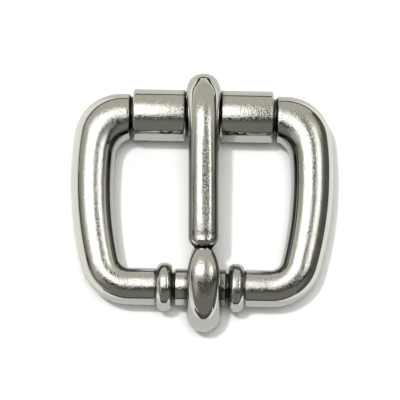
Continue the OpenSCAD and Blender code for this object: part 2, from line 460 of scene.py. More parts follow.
class Effect(Wiring):
    """A shader node group with named inputs and outputs, while it is wired."""

    def __init__(self, name: str, inputs: dict[str, Kind], outputs: dict[str, Kind]) -> None:
        """Make the group.

        Args:
            name: Name of the group.
            inputs: Its inputs by name.
            outputs: Its outputs by name.
        """
        self.tree = bpy.data.node_groups.new(name, "ShaderNodeTree")
        super().__init__(self.tree)
        for side, sockets in (("INPUT", inputs), ("OUTPUT", outputs)):
            for title, kind in sockets.items():
                self.tree.interface.new_socket(title, in_out=side, socket_type=kind.value)
        self.source = self.nodes.new("NodeGroupInput")
        self.sink = self.nodes.new("NodeGroupOutput")

    def given(self, title: str) -> Socket:
        """An input of the group."""
        return self.source.outputs[title]

    def put_out(self, title: str, value: Socket) -> None:
        """Send a value to an output of the group."""
        self.links.new(value, self.sink.inputs[title])


@dataclass(frozen=True)
class Grain:
    """Fine grain of tumbled metal: a height for the bump, and a roughness with rougher specks.

    The specks are the raised parts of the grain. Both fade where the metal turns down to its
    sides, which stay polished.
    """

    facing_up: Pair = (0.74, 0.96)
    fine_detail: float = 1.0
    broad_scale: float = 220.0
    broad_detail: float = 3.0
    broad_roughness: float = 0.06
    speck_level: Pair = (0.50, 0.60)
    speck_roughness: float = 0.26

    def build(self) -> bpy.types.NodeTree:
        """Make the node group.

        Returns:
            The group.
        """
        group = Effect(
            "satin_grain",
            {"Place": Kind.VECTOR, "Size": Kind.VALUE, "Roughness": Kind.VALUE},
            {"Height": Kind.VALUE, "Roughness": Kind.VALUE},
        )
        place = group.given("Place")
        fine = group.noise(place, group.math("DIVIDE", 1 / MM, group.given("Size")), self.fine_detail)
        broad = group.noise(place, self.broad_scale, self.broad_detail)
        spread = group.math("MULTIPLY_ADD", broad, self.broad_roughness, -self.broad_roughness / 2)
        on_top = group.ramp(group.parts(group.coords("Normal"))[2], self.facing_up)
        specks = group.ramp(fine, self.speck_level, (0.0, self.speck_roughness), Rise.STRAIGHT)
        even = group.math("ADD", group.given("Roughness"), spread)
        group.put_out("Height", group.product(group.math("SUBTRACT", fine, 0.5), on_top))
        group.put_out("Roughness", group.math("MULTIPLY_ADD", specks, on_top, even))
        return group.tree


@dataclass(frozen=True)
class CreviceShading:
    """Colour of the metal: painted shade that darkens it in crevices, with faint cloudy patches of tone."""

    crevice_reach: float = 0.0016
    crevice_samples: int = 8
    open_share: Pair = (0.54, 0.88)
    cloud_scale: float = 130.0
    cloud_detail: float = 4.0
    cloud_shades: Pair = (0.95, 1.04)

    def build(self) -> bpy.types.NodeTree:
        """Make the node group.

        Returns:
            The group.
        """
        group = Effect(
            "painted_crevice_shade_and_clouds",
            {"Place": Kind.VECTOR, "Metal": Kind.COLOUR, "Crevice": Kind.COLOUR},
            {"Colour": Kind.COLOUR},
        )
        # Painted shade: ambient occlusion blends the colour towards the dark crevice shade in gaps and
        # grooves.
        hollow = group.nodes.new("ShaderNodeAmbientOcclusion")
        hollow.samples = self.crevice_samples
        hollow.inputs["Distance"].default_value = self.crevice_reach
        is_open = group.ramp(hollow.outputs["AO"], self.open_share, rise=Rise.STRAIGHT)
        cloud = group.noise(group.given("Place"), self.cloud_scale, self.cloud_detail)
        shade = group.ramp(cloud, (0.0, 1.0), self.cloud_shades, Rise.STRAIGHT)
        base = group.blend(is_open, group.given("Crevice"), group.given("Metal"), Kind.COLOUR)
        group.put_out("Colour", group.scaled(base, shade))
        return group.tree


@dataclass(frozen=True)
class WindowShade:
    """Painted shade: a dark band painted low on the frame's sides, round the two windows, for the dark
    reflection there.

    It lies where the metal faces a window's middle, at a certain slope.
    """

    window_x: float = 0.0095
    steep_side: Pair = (0.50, 0.57)
    flat_side: Pair = (0.80, 0.64)
    inward: Pair = (0.25, 0.5)
    past_collars: Pair = (0.0095, 0.0125)

    def build(self) -> bpy.types.NodeTree:
        """Make the node group.

        Returns:
            The group.
        """
        group = Effect(
            "painted_shade_inside_windows",
            {"Place": Kind.VECTOR, "Colour": Kind.COLOUR, "Strength": Kind.VALUE},
            {"Colour": Kind.COLOUR},
        )
        x, y, _ = group.parts(group.given("Place"))
        face_x, face_y, face_z = group.parts(group.nodes.new("ShaderNodeNewGeometry").outputs["Normal"])
        out_x = group.math("ABSOLUTE", x)
        face_out = group.product(face_x, group.math("SIGN", x))
        to_x, to_y = group.math("SUBTRACT", self.window_x, out_x), group.math("SUBTRACT", 0.0, y)
        reach = group.math("SQRT", group.math("ADD", group.product(to_x, to_x), group.product(to_y, to_y)))
        turned = group.math("ADD", group.product(to_x, face_out), group.product(to_y, face_y))
        mask = group.product(
            group.ramp(face_z, self.flat_side),
            group.ramp(face_z, self.steep_side),
            group.ramp(group.math("DIVIDE", turned, reach), self.inward),
            group.ramp(out_x, self.past_collars),
            group.given("Strength"),
        )
        # Painted shade: darken the colour where the mask is 1.
        group.put_out("Colour", group.darkened(group.given("Colour"), mask))
        return group.tree


@dataclass(frozen=True)
class PaintedDarkLines:
    """Painted reflection: dark lines painted low on the sides, for the dark things the metal mirrors there.

    The upper line lies at about 50 degrees off the upright, the lower one at the very side. They
    keep to the tongue and the collars, and leave the tip and what faces the heel free.
    """

    upper_top: Pair = (0.74, 0.68)
    upper_low: Pair = (0.54, 0.60)
    lower_top: Pair = (0.36, 0.24)
    not_heelwards: Pair = (-0.45, -0.15)
    short_of_tip: Pair = (0.0145, 0.0115)
    near_middle: Pair = (0.0086, 0.0080)

    def build(self) -> bpy.types.NodeTree:
        """Make the node group.

        Returns:
            The group.
        """
        group = Effect(
            "painted_dark_lines", {"Colour": Kind.COLOUR, "Strength": Kind.VALUE}, {"Colour": Kind.COLOUR}
        )
        _, face_y, face_z = group.parts(group.coords("Normal"))
        x, y, _ = group.parts(group.coords("Object"))
        upper = group.product(group.ramp(face_z, self.upper_top), group.ramp(face_z, self.upper_low))
        mask = group.product(
            group.math("MAXIMUM", upper, group.ramp(face_z, self.lower_top)),
            group.ramp(face_y, self.not_heelwards),
            group.ramp(y, self.short_of_tip),
            group.ramp(group.math("ABSOLUTE", x), self.near_middle),
            group.given("Strength"),
        )
        # Painted reflection: darken the colour along the lines.
        group.put_out("Colour", group.darkened(group.given("Colour"), mask))
        return group.tree


class MetalGroups:
    """The node groups that the metals share."""

    def __init__(self) -> None:
        """Make the groups."""
        self.grain = Grain().build()
        self.crevice_shading = CreviceShading().build()
        self.inside = WindowShade().build()
        self.reflection_lines = PaintedDarkLines().build()


@dataclass(frozen=True)
class SatinMetal:
    """Tumbled satin metal: fine grain, painted shade in the crevices, and, where asked for, a painted dark
    band inside the windows and painted dark reflection lines.

    The grain's size is millimetres, its depth a share of bump_height, which is metres.
    """

    name: str
    colour: Colour = (0.61, 0.605, 0.56, 1.0)
    # Colour of the painted shade in the crevices.
    crevice_shade_colour: Colour = (0.03, 0.03, 0.026, 1.0)
    roughness: float = 0.055
    grain_size: float = 0.20
    grain_depth: float = 0.40
    bump_height: float = 0.0001
    window_shade: float = 0.0
    reflection_lines: float = 0.0

    def build(self, groups: MetalGroups) -> bpy.types.Material:
        """Make the material.

        Args:
            groups: The node groups that the metals share.

        Returns:
            The material.
        """
        material = bpy.data.materials.new(self.name)
        material.use_nodes = True
        wiring = Wiring(material.node_tree)
        place = wiring.coords("Object")
        grain = wiring.effect(groups.grain, Place=place, Size=self.grain_size, Roughness=self.roughness)
        # Painted shade in the crevices, then the painted dark band and painted dark lines where asked for.
        colour = wiring.effect(groups.crevice_shading, Place=place, Metal=self.colour, Crevice=self.crevice_shade_colour)["Colour"]
        # Painted shade: a dark band on the frame's inner sides, round the windows.
        if self.window_shade > 0:
            inside_shaded = wiring.effect(groups.inside, Place=place, Colour=colour, Strength=self.window_shade)
            colour = inside_shaded["Colour"]
        # Painted reflection: dark lines low on the sides.
        if self.reflection_lines > 0:
            colour = wiring.effect(groups.reflection_lines, Colour=colour, Strength=self.reflection_lines)["Colour"]
        bump = wiring.nodes.new("ShaderNodeBump")
        bump.inputs["Strength"].default_value = self.grain_depth
        bump.inputs["Distance"].default_value = self.bump_height
        wiring.feed(bump.inputs["Height"], grain["Height"])
        shader = wiring.nodes["Principled BSDF"].inputs
        wiring.feed(shader["Metallic"], 1.0)
        wiring.feed(shader["Base Color"], colour)
        wiring.feed(shader["Roughness"], grain["Roughness"])
        wiring.feed(shader["Normal"], bump.outputs["Normal"])
        return material


@dataclass
class CastFrame:
    """The cast frame: heel bar with collars, side members, shoulders and the bar inside the rollers."""

    finish: bpy.types.Material
    sides: int = 64
    front_bar_r: float = 3.37
    rest_r: float = 3.95
    rest_half: float = 2.9
    shoulder_x: float = 13.45
    shoulder_edge_r: float = 0.5
    side_reach: float = 20.2
    widest_y: float = 20.0
    side_bow_r: float = 65.0
    heel_corner_r: float = 5.6
    front_outer_r: float = 8.6
    front_inner_r: float = 3.8
    shoulder_top_y: float = 36.0
    shoulder_low_y: float = 27.8
    shoulder_half_h: float = 4.1
    corner_steps: int = 14
    front_steps: int = 24

    def heel_outline(self) -> list[Pair]:
        """List the corners of half the heel bar and round them.

        Returns:
            Points (x, radius) along the land, the groove, the collar and the bar.
        """
        return rounded(
            [
                (0.0, 3.35, 0.0),
                (4.56, 3.35, 0.12),
                (4.60, 2.70, 0.08),
                (5.13, 2.70, 0.08),
                (5.20, 3.95, 0.50),
                (6.00, 4.42, 0.9),
                (7.20, 4.40, 1.0),
                (7.90, 3.75, 0.5),
                (8.02, 3.22, 0.08),
                (8.40, 3.37, 0.3),
                (12.0, 3.37, 0.0),
            ]
        )

    def side_radii(self) -> list[Pair]:
        """Half the side member's height, from 0 at the heel bar to 3 at the shoulder.

        Returns:
            Rows (place, radius); 1 is the end of the heel corner, 2 the end of the bow.
        """
        return [
            (0.0, 3.37),
            (0.6, 3.52),
            (1.0, 3.64),
            (1.3, 3.76),
            (1.6, 3.87),
            (2.0, 3.98),
            (2.5, 4.25),
            (3.0, 4.10),
        ]

    def bow_centre(self) -> Vector:
        """Centre of the side member's long bow."""
        return Vector((self.side_reach - self.side_bow_r, self.widest_y))

    def corner(self, bow_r: float, corner_r: float, centre_y: float) -> tuple[Vector, float]:
        """Find a corner that runs smoothly out of a bow.

        Args:
            bow_r: Radius of the bow.
            corner_r: Radius of the corner.
            centre_y: Where the corner's centre lies.

        Returns:
            The corner's centre, and the angle in degrees at which it meets the bow.
        """
        reach = bow_r - corner_r
        angle = math.degrees(math.asin((centre_y - self.widest_y) / reach))
        return self.bow_centre() + reach * ray(angle), angle

    def tube(self) -> list[tuple[float, float, float, float, float]]:
        """Find the stations round the side member, from the heel bar to the shoulder.

        Returns:
            Stations as (x, y, heading, half width, half height).
        """
        heel_r, in_r, out_r = self.heel_corner_r, self.front_inner_r, self.front_outer_r
        radii = self.side_radii()
        (side,) = smooth_row(radii, 2.0)
        out_bow_r = self.side_bow_r + side
        heel_centre, heel_turn = self.corner(self.side_bow_r, heel_r, heel_r)
        in_centre, in_turn = self.corner(self.side_bow_r - side, in_r, self.shoulder_low_y - in_r)
        out_centre, out_turn = self.corner(out_bow_r, out_r, self.shoulder_top_y - out_r)
        stations = []
        for n in range(2 * self.corner_steps + 1):
            place = n / self.corner_steps
            (radius,) = smooth_row(radii, place)
            if place <= 1:
                angle = -90 + place * (90 + heel_turn)
                middle = heel_centre + heel_r * ray(angle)
            else:
                angle = heel_turn + (place - 1) * (in_turn - heel_turn)
                middle = self.bow_centre() + self.side_bow_r * ray(angle)
            stations.append((*middle, angle + 90, radius, radius))
        # From here the outside runs on along the bow, its corner and the straight top, while the
        # inside turns round its own corner.
        end_x = self.shoulder_x + self.shoulder_edge_r
        in_last = math.degrees(math.acos((end_x - in_centre.x) / in_r))
        bow_run = out_bow_r * math.radians(out_turn - in_turn)
        arc_run = out_r * math.radians(90 - out_turn)
        whole_run = bow_run + arc_run + out_centre.x - end_x
        for n in range(1, self.front_steps + 1):
            share = n / self.front_steps
            run = whole_run * share
            if run < bow_run:
                outer = self.bow_centre() + out_bow_r * ray(in_turn + math.degrees(run / out_bow_r))
            elif run < bow_run + arc_run:
                outer = out_centre + out_r * ray(out_turn + math.degrees((run - bow_run) / out_r))
            else:
                outer = Vector((out_centre.x - (run - bow_run - arc_run), self.shoulder_top_y))
            inner = in_centre + in_r * ray(in_turn + (in_last - in_turn) * share)
            middle, across = (outer + inner) / 2, outer - inner
            heading = math.degrees(math.atan2(across.y, across.x)) + 90
            (height,) = smooth_row(radii, 2 + share)
            stations.append((*middle, heading, across.length / 2, height))
        return stations

    def front_outline(self) -> list[Pair]:
        """List the corners of half the front bar and round them.

        Returns:
            Points (x, radius) from the shoulder's flat end to the middle.
        """
        return rounded(
            [
                (self.shoulder_x, self.shoulder_half_h - self.shoulder_edge_r, 0.0),
                (self.shoulder_x, self.front_bar_r, 0.12),
                (self.rest_half, self.front_bar_r, 0.10),
                (self.rest_half, self.rest_r, 0.25),
                (0.0, self.rest_r, 0.0),
            ]
        )

    def build(self) -> bpy.types.Object:
        """Draw one half from the middle of the heel bar to the middle of the front bar, and mirror it.

        Returns:
            The finished piece.
        """
        outline = self.heel_outline()
        skin = RingSkin("cast_frame", self.sides, outline[0][1], SEAT.heel(), Axis.Z)
        for x, radius in outline[1:]:
            skin.station(SEAT.heel(x), 0.0, radius)
        stations = self.tube()
        for x, y, heading, width, height in stations:
            skin.station(Vector((x, SEAT.y + y, SEAT.z)), heading, width, height)
        _, y, _, width, height = stations[-1]
        for turn in range(15, 91, 15):
            inset, left = self.shoulder_edge_r * (Vector((1.0, 1.0)) - ray(turn))
            end = Vector((self.shoulder_x + left, SEAT.y + y, SEAT.z))
            skin.station(end, 180.0, width - inset, height - inset)
        for x, radius in self.front_outline()[1:]:
            skin.station(SEAT.front(x), 180.0, radius)
        piece = skin.done()
        mirror = piece.modifiers.new("other_half", "MIRROR")
        mirror.merge_threshold = 1e-6
        bpy.ops.object.modifier_apply(modifier=mirror.name)
        dress(piece, self.finish)
        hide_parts("frame")
        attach(piece, "frame")
        return piece


@dataclass
class Roller:
    """A sleeve with rounded ends that turns on the front bar."""

    finish: bpy.types.Material
    node: str
    left_end: float
    sides: int = 72
    outer_r: float = 4.77
    bore_r: float = 3.47
    length: float = 9.75
    edge_r: float = 0.45
    bore_edge_r: float = 0.12

    def build(self) -> bpy.types.Object:
        """Draw the sleeve's wall from one end to the other and back through the bore.

        Returns:
            The finished piece.
        """
        right_end = self.left_end + self.length
        wall = rounded(
            [
                (self.left_end, self.bore_r, 0.0),
                (self.left_end, self.outer_r, self.edge_r),
                (right_end, self.outer_r, self.edge_r),
                (right_end, self.bore_r, self.bore_edge_r),
                (self.left_end, self.bore_r, 0.0),
            ],
            6,
        )
        skin = RingSkin(self.node + "_sleeve", self.sides, self.bore_r, SEAT.front(self.left_end), Axis.Z)
        for x, radius in wall[1:]:
            skin.station(SEAT.front(x), 0.0, radius)
        piece = skin.done()
        dress(piece, self.finish)
        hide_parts(self.node)
        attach(piece, self.node)
        return piece


@dataclass
class Tongue:
    """The tongue: an eye round the heel bar, and a shaft whose tip droops over the front bar.

    worn_from and worn_to are places across the shaft, from -1 at its left side to 1 at its right.
    plain_steps are pairs of where a stretch of the shaft ends and the distance of its stations.
    """

    finish: bpy.types.Material
    eye_shift: float = 0.62
    lean: float = 1.1
    bore_r: float = 3.45
    eye_sides: int = 48
    eye_steps: int = 72
    eye_square: Pair = (0.35, 0.6)
    shaft_sides: int = 80
    shaft_square: Pair = (0.7, 0.8)
    waist_share: float = 0.46
    underside_share: float = 0.94
    end_cap_share: float = 0.4
    step_y: float = 6.38
    step_edge_r: float = 1.3
    step_corner_r: float = 1.9
    step_low_share: float = 0.6
    plain_from: float = 8.5
    plain_steps: tuple[Pair, ...] = ((10.5, 0.2), (24.0, 0.9), (37.9, 0.6))
    worn_from: float = -0.15
    worn_to: float = 0.41
    worn_depth: float = 0.8
    worn_ends: Pair = (9.2, 30.0)
    worn_fades: Pair = (2.6, 7.0)
    nose_y: float = 35.84
    nose_z: float = 2.03
    nose_r: float = 3.8
    nose_low: float = 0.25
    nose_half: float = 3.18
    nose_widest_y: float = 36.2
    seat_r: float = 4.03
    seat_sides: int = 96
    seat_width: float = 16.0
    form_sharp: float = 60.0
    whole_sharp: float = 50.0

    def shaft_rows(self) -> list[tuple[float, ...]]:
        """Measurements along the shaft.

        Returns:
            Rows (y, top, underside, half width).
        """
        return [
            (6.38, 7.05, 2.95, 2.76),
            (7.60, 7.07, 3.05, 2.76),
            (8.05, 7.09, 3.08, 2.76),
            (8.45, 7.15, 3.12, 2.76),
            (9.15, 7.32, 3.19, 2.76),
            (9.90, 7.46, 3.24, 2.76),
            (11.0, 7.63, 3.30, 2.76),
            (15.0, 7.88, 3.52, 2.76),
            (20.0, 8.30, 3.82, 2.76),
            (25.0, 8.50, 4.02, 2.76),
            (28.5, 8.50, 4.03, 2.78),
            (31.5, 8.22, 3.95, 2.84),
            (34.0, 7.52, 2.60, 3.02),
            (36.2, 6.48, 0.60, 3.18),
            (38.3, 4.92, 0.25, 2.60),
        ]

    def eye_rows(self) -> list[tuple[float, ...]]:
        """Measurements round the eye, from the side of the shaft upwards and over.

        Returns:
            Rows (angle, outside radius, half width, depth of the round face).
        """
        return [
            (0, 7.20, 1.70, 1.4),
            (20, 8.30, 1.80, 1.5),
            (35, 8.90, 2.05, 1.7),
            (50, 8.86, 2.45, 1.9),
            (65, 8.50, 2.86, 2.0),
            (77, 8.24, 2.97, 2.1),
            (89, 7.78, 3.00, 2.2),
            (102, 7.44, 3.02, 2.4),
            (117, 7.32, 3.04, 2.7),
            (142, 7.46, 3.10, 3.1),
            (160, 7.76, 3.13, 3.4),
            (180, 8.16, 3.14, 3.5),
            (200, 7.98, 3.14, 3.1),
            (225, 6.75, 3.12, 2.0),
            (245, 5.50, 3.10, 1.0),
            (270, 5.10, 3.08, 0.7),
            (300, 5.50, 2.80, 0.9),
            (330, 6.20, 2.20, 1.2),
            (360, 7.20, 1.70, 1.4),
        ]

    def squared(self, skin: RingSkin, ring: list[int], middle: Vector, size: Vector, powers: Pair) -> None:
        """Square off the lower half of a section that is still an ellipse.

        Args:
            skin: The skin whose first ring this is.
            ring: Numbers of the ring's vertices.
            middle: Middle of the ellipse.
            size: Half width in x and half depth along the outward axis, in its other part.
            powers: Powers for the width and the depth; less than 1 squares the section.
        """
        outward = 1 if abs(size.y) > 0 else 2
        depth = size[outward]
        for k in range(1, len(ring) // 4 + 1):
            sine = math.sin(2 * math.pi * k / len(ring))
            cosine = math.cos(2 * math.pi * k / len(ring))
            skin.select(ring)
            skin.keep_selected(lambda p: abs((middle[outward] - p[outward]) / depth - sine) < 0.001)
            if cosine > 1e-4:
                skin.swell((cosine ** (powers[0] - 1), 1.0, 1.0), middle)
            lower = Vector((0.0, 0.0, 0.0))
            lower[outward] = -depth * (sine ** powers[1] - sine)
            skin.shift(lower)
        skin.select(ring)

    def eye(self) -> bpy.types.Object:
        """Draw the eye right round the heel bar.

        Returns:
            The eye.
        """
        rows = self.eye_rows()
        out_r, half_w, depth = smooth_row(rows, 0.0)
        side_r = out_r - depth
        mid = Vector((0.0, SEAT.y + side_r, SEAT.z))
        skin = RingSkin("tongue_eye", self.eye_sides, 1.0, mid, Axis.X)
        skin.turn(90.0, Axis.X, mid)
        ring = skin.ring()
        skin.swell((half_w, depth, 1.0), mid)
        self.squared(skin, ring, mid, Vector((half_w, depth, 0.0)), self.eye_square)
        skin.keep_selected(lambda p: p.y < mid.y - 1e-4)
        skin.swell((1.0, (side_r - self.bore_r) / depth, 1.0), mid)
        skin.select(ring)
        for n in range(1, self.eye_steps + 1):
            angle = 360.0 * n / self.eye_steps
            new_out, new_half, new_depth = smooth_row(rows, angle)
            new_side = new_out - new_depth
            out = Vector((0.0, *ray(angle)))
            skin.draw(Vector((0.0, 0.0, 0.0)))
            skin.turn(360.0 / self.eye_steps, Axis.X, SEAT.heel())
            skin.swell((new_half / half_w, 1.0, 1.0), SEAT.heel())
            now = skin.ring()
            # The round face outside the sides, then the wall between the sides and the bore.
            cap = new_depth / depth
            wall = (new_side - self.bore_r) / (side_r - self.bore_r)
            skin.keep_selected(lambda p: (Vector((0, p.y, p.z)) - SEAT.heel()).length > side_r - 1e-3)
            face = set(skin.ring())
            skin.swell((1.0, cap, cap), SEAT.heel())
            skin.shift(out * (new_side - cap * side_r))
            skin.select([v for v in now if v not in face])
            skin.swell((1.0, wall, wall), SEAT.heel())
            skin.shift(out * (self.bore_r * (1.0 - wall)))
            skin.select(now)
            half_w, depth, side_r = new_half, new_depth, new_side
        # The back is flat, level with the undersides of the rollers.
        skin.pick(lambda v: v.co.z < 0.0)
        skin.swell((1.0, 1.0, 0.0), Vector((0.0, 0.0, 0.0)))
        return skin.done(self.form_sharp)

    def wear_crown(
        self, skin: RingSkin, ring: list[int], half: float, waist: float, top: float, change: float
    ) -> None:
        """Wear the crown of a section flatter, or rounder where the change is less than zero.

        Args:
            skin: The shaft's skin.
            ring: Numbers of the ring's vertices.
            half: Half the section's width.
            waist: Height of the section's widest place over the table.
            top: Height of its crest.
            change: How much flatter the crown becomes.
        """
        left, right = self.worn_from, self.worn_to
        for k in range(1, len(ring) // 2):
            across = math.cos(2 * math.pi * k / len(ring))
            if not left < across < right:
                continue
            share = (across - left) / (right - left)
            chord = math.sqrt(1 - left**2) * (1 - share) + math.sqrt(1 - right**2) * share
            sink = self.worn_depth * change * (top - waist) * (math.sqrt(1 - across**2) - chord)
            skin.select(ring)
            skin.keep_selected(lambda p: p.z > waist and abs(p.x - across * half) < 0.01 * half)
            skin.shift(Vector((0.0, 0.0, -sink)))
        skin.select(ring)

    @staticmethod
    def drawn_back(away: float, radius: float) -> float:
        """How far an edge of a radius draws back at a distance from the end."""
        left = radius - min(away, radius)
        return radius - math.sqrt(max(0.0, radius**2 - left**2))

    def flatness(self, y: float) -> float:
        """How far the crown is worn flat at y: 1 along the shaft, fading to 0 towards both its ends."""
        (start, end), (fade_in, fade_out) = self.worn_ends, self.worn_fades
        return max(0.0, min(1.0, (end - y) / fade_out, (y - start) / fade_in))

    def shaft_stations(self) -> list[tuple[float, float, float, float, float]]:
        """Find the stations of the shaft, from its shoulder to the tip.

        Returns:
            Stations as (y, top, underside, half width, flatness of the crown).
        """
        rows = self.shaft_rows()
        found = []
        for away in (0.0, 0.02, 0.06, 0.13, 0.23, 0.36, 0.52, 0.7, 0.9, 1.15, 1.4, 1.65, 1.9):
            y = self.step_y + away
            top, low, half = smooth_row(rows, y)
            edge = self.drawn_back(away, self.step_edge_r)
            corner = self.drawn_back(away, self.step_corner_r)
            found.append((y, top - edge, low + self.step_low_share * edge, half - corner, self.flatness(y)))
        y = self.plain_from
        for until, step in self.plain_steps:
            while y < until:
                found.append((y, *smooth_row(rows, y), self.flatness(y)))
                y += step
        reach = self.nose_y + self.nose_r - self.nose_widest_y
        for angle in (36, 42, 48, 54, 60, 66, 71, 76, 80, 84, 87, 89):
            y = self.nose_y + self.nose_r * math.sin(math.radians(angle))
            shrink = math.sqrt(1 - ((y - self.nose_widest_y) / reach) ** 2)
            top = self.nose_z + self.nose_r * math.cos(math.radians(angle))
            low = self.nose_z - (self.nose_z - self.nose_low) * math.sqrt(shrink)
            found.append((y, top, low, self.nose_half * shrink, 0.0))
        return found

    def shaft(self) -> bpy.types.Object:
        """Draw the shaft from its shoulder over the eye to the tip.

        Returns:
            The shaft.
        """
        stations = self.shaft_stations()
        y, top, low, half, flat = stations[0]
        waist = low + self.waist_share * (top - low)
        middle = Vector((0.0, SEAT.y + y, SEAT.z + waist))
        skin = RingSkin("tongue_shaft", self.shaft_sides, 1.0, middle, Axis.X)
        first = skin.ring()
        skin.swell((half, 1.0, top - waist), middle)
        self.squared(skin, first, middle, Vector((half, 0.0, top - waist)), self.shaft_square)
        skin.keep_selected(lambda p: p.z < middle.z - 1e-4)
        skin.swell((self.underside_share, 1.0, (waist - low) / (top - waist)), middle)
        self.wear_crown(skin, first, half, SEAT.z + waist, SEAT.z + top, flat)
        for new_y, new_top, new_low, new_half, new_flat in stations[1:]:
            skin.draw(Vector((0.0, new_y - y, 0.0)))
            new_waist = new_low + self.waist_share * (new_top - new_low)
            about = Vector((0.0, SEAT.y + new_y, SEAT.z + waist))
            skin.swell((new_half / half, 1.0, (new_top - new_low) / (top - low)), about)
            skin.shift(Vector((0.0, 0.0, new_waist - waist)))
            if abs(new_flat - flat) > 1e-3:
                levels = SEAT.z + new_waist, SEAT.z + new_top
                self.wear_crown(skin, skin.ring(), new_half, *levels, new_flat - flat)
            y, top, low, half, flat, waist = new_y, new_top, new_low, new_half, new_flat, new_waist
        skin.close()
        skin.select(first)
        skin.draw(Vector((0.0, 0.0, 0.0)))
        skin.swell((self.end_cap_share, 1.0, self.end_cap_share), middle)
        skin.close()
        return skin.done(self.form_sharp)

    def seat_tip(self, piece: bpy.types.Object) -> None:
        """Hollow the underside of the tip so that it lies on the front bar's rest.

        Args:
            piece: The shaft.
        """
        clear_selection()
        bpy.ops.mesh.primitive_cylinder_add(
            vertices=self.seat_sides,
            radius=self.seat_r * MM,
            depth=self.seat_width * MM,
            location=SEAT.front() * MM,
            rotation=(0.0, math.pi / 2, 0.0),
        )
        cutter = bpy.context.object
        bpy.ops.object.select_all(action="DESELECT")
        bpy.context.view_layer.objects.active = piece
        piece.select_set(True)
        cut = piece.modifiers.new("seat", "BOOLEAN")
        cut.operation, cut.solver, cut.object = "DIFFERENCE", "EXACT", cutter
        bpy.ops.object.modifier_apply(modifier=cut.name)
        bpy.data.objects.remove(cutter)

    def build(self) -> bpy.types.Object:
        """Build the tongue's forms, join them into one piece and set it askew as it lies.

        Returns:
            The finished piece.
        """
        shaft = self.shaft()
        self.seat_tip(shaft)
        eye = self.eye()
        clear_selection()
        for part in (shaft, eye):
            part.select_set(True)
        bpy.context.view_layer.objects.active = shaft
        bpy.ops.object.join()
        piece = bpy.context.object
        piece.name = piece.data.name = "cast_tongue"
        bpy.ops.object.mode_set(mode="EDIT")
        bpy.ops.mesh.select_all(action="SELECT")
        bpy.ops.transform.rotate(
            value=-math.radians(self.lean),
            orient_axis="Z",
            orient_type="GLOBAL",
            center_override=SEAT.heel() * MM,
        )
        bpy.ops.transform.translate(value=(self.eye_shift * MM, 0.0, 0.0), orient_type="GLOBAL")
        bpy.ops.object.mode_set(mode="OBJECT")
        bpy.ops.object.shade_smooth_by_angle(angle=math.radians(self.whole_sharp))
        dress(piece, self.finish)
        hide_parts("tongue")
        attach(piece, "tongue")
        return piece


@dataclass
class SoftBox:
    """A flat soft light over the table, facing straight down.

    Its middle, its height over the table, its two sides, and its radiance, which is how bright it
    looks in a mirror. It lights the metal and not the table.
    """

    name: str
    x: float
    y: float
    height: float
    width: float
    depth: float
    radiance: float

    def build(self) -> None:
        """Add the light."""
        lamp = bpy.data.lights.new(self.name, "AREA")
        lamp.shape = "RECTANGLE"
        lamp.size, lamp.size_y = self.width, self.depth
        lamp.energy = self.radiance * math.pi * self.width * self.depth
        holder = bpy.data.objects.new(self.name, lamp)
        holder.location = (self.x, self.y, self.height)
        holder.visible_diffuse = False
        bpy.context.collection.objects.link(holder)


@dataclass
class Sun:
    """A light far away that lights the table and isn't seen in the metal.

    The direction towards it, its strength, and how wide it looks in degrees.
    """

    name: str
    towards: tuple[float, float, float]
    energy: float
    angle: float

    def build(self) -> None:
        """Add the light."""
        lamp = bpy.data.lights.new(self.name, "SUN")
        lamp.energy, lamp.angle = self.energy, math.radians(self.angle)
        holder = bpy.data.objects.new(self.name, lamp)
        holder.visible_glossy = False
        holder.rotation_mode = "QUATERNION"
        holder.rotation_quaternion = Vector(self.towards).to_track_quat("Z", "Y")
        bpy.context.collection.objects.link(holder)


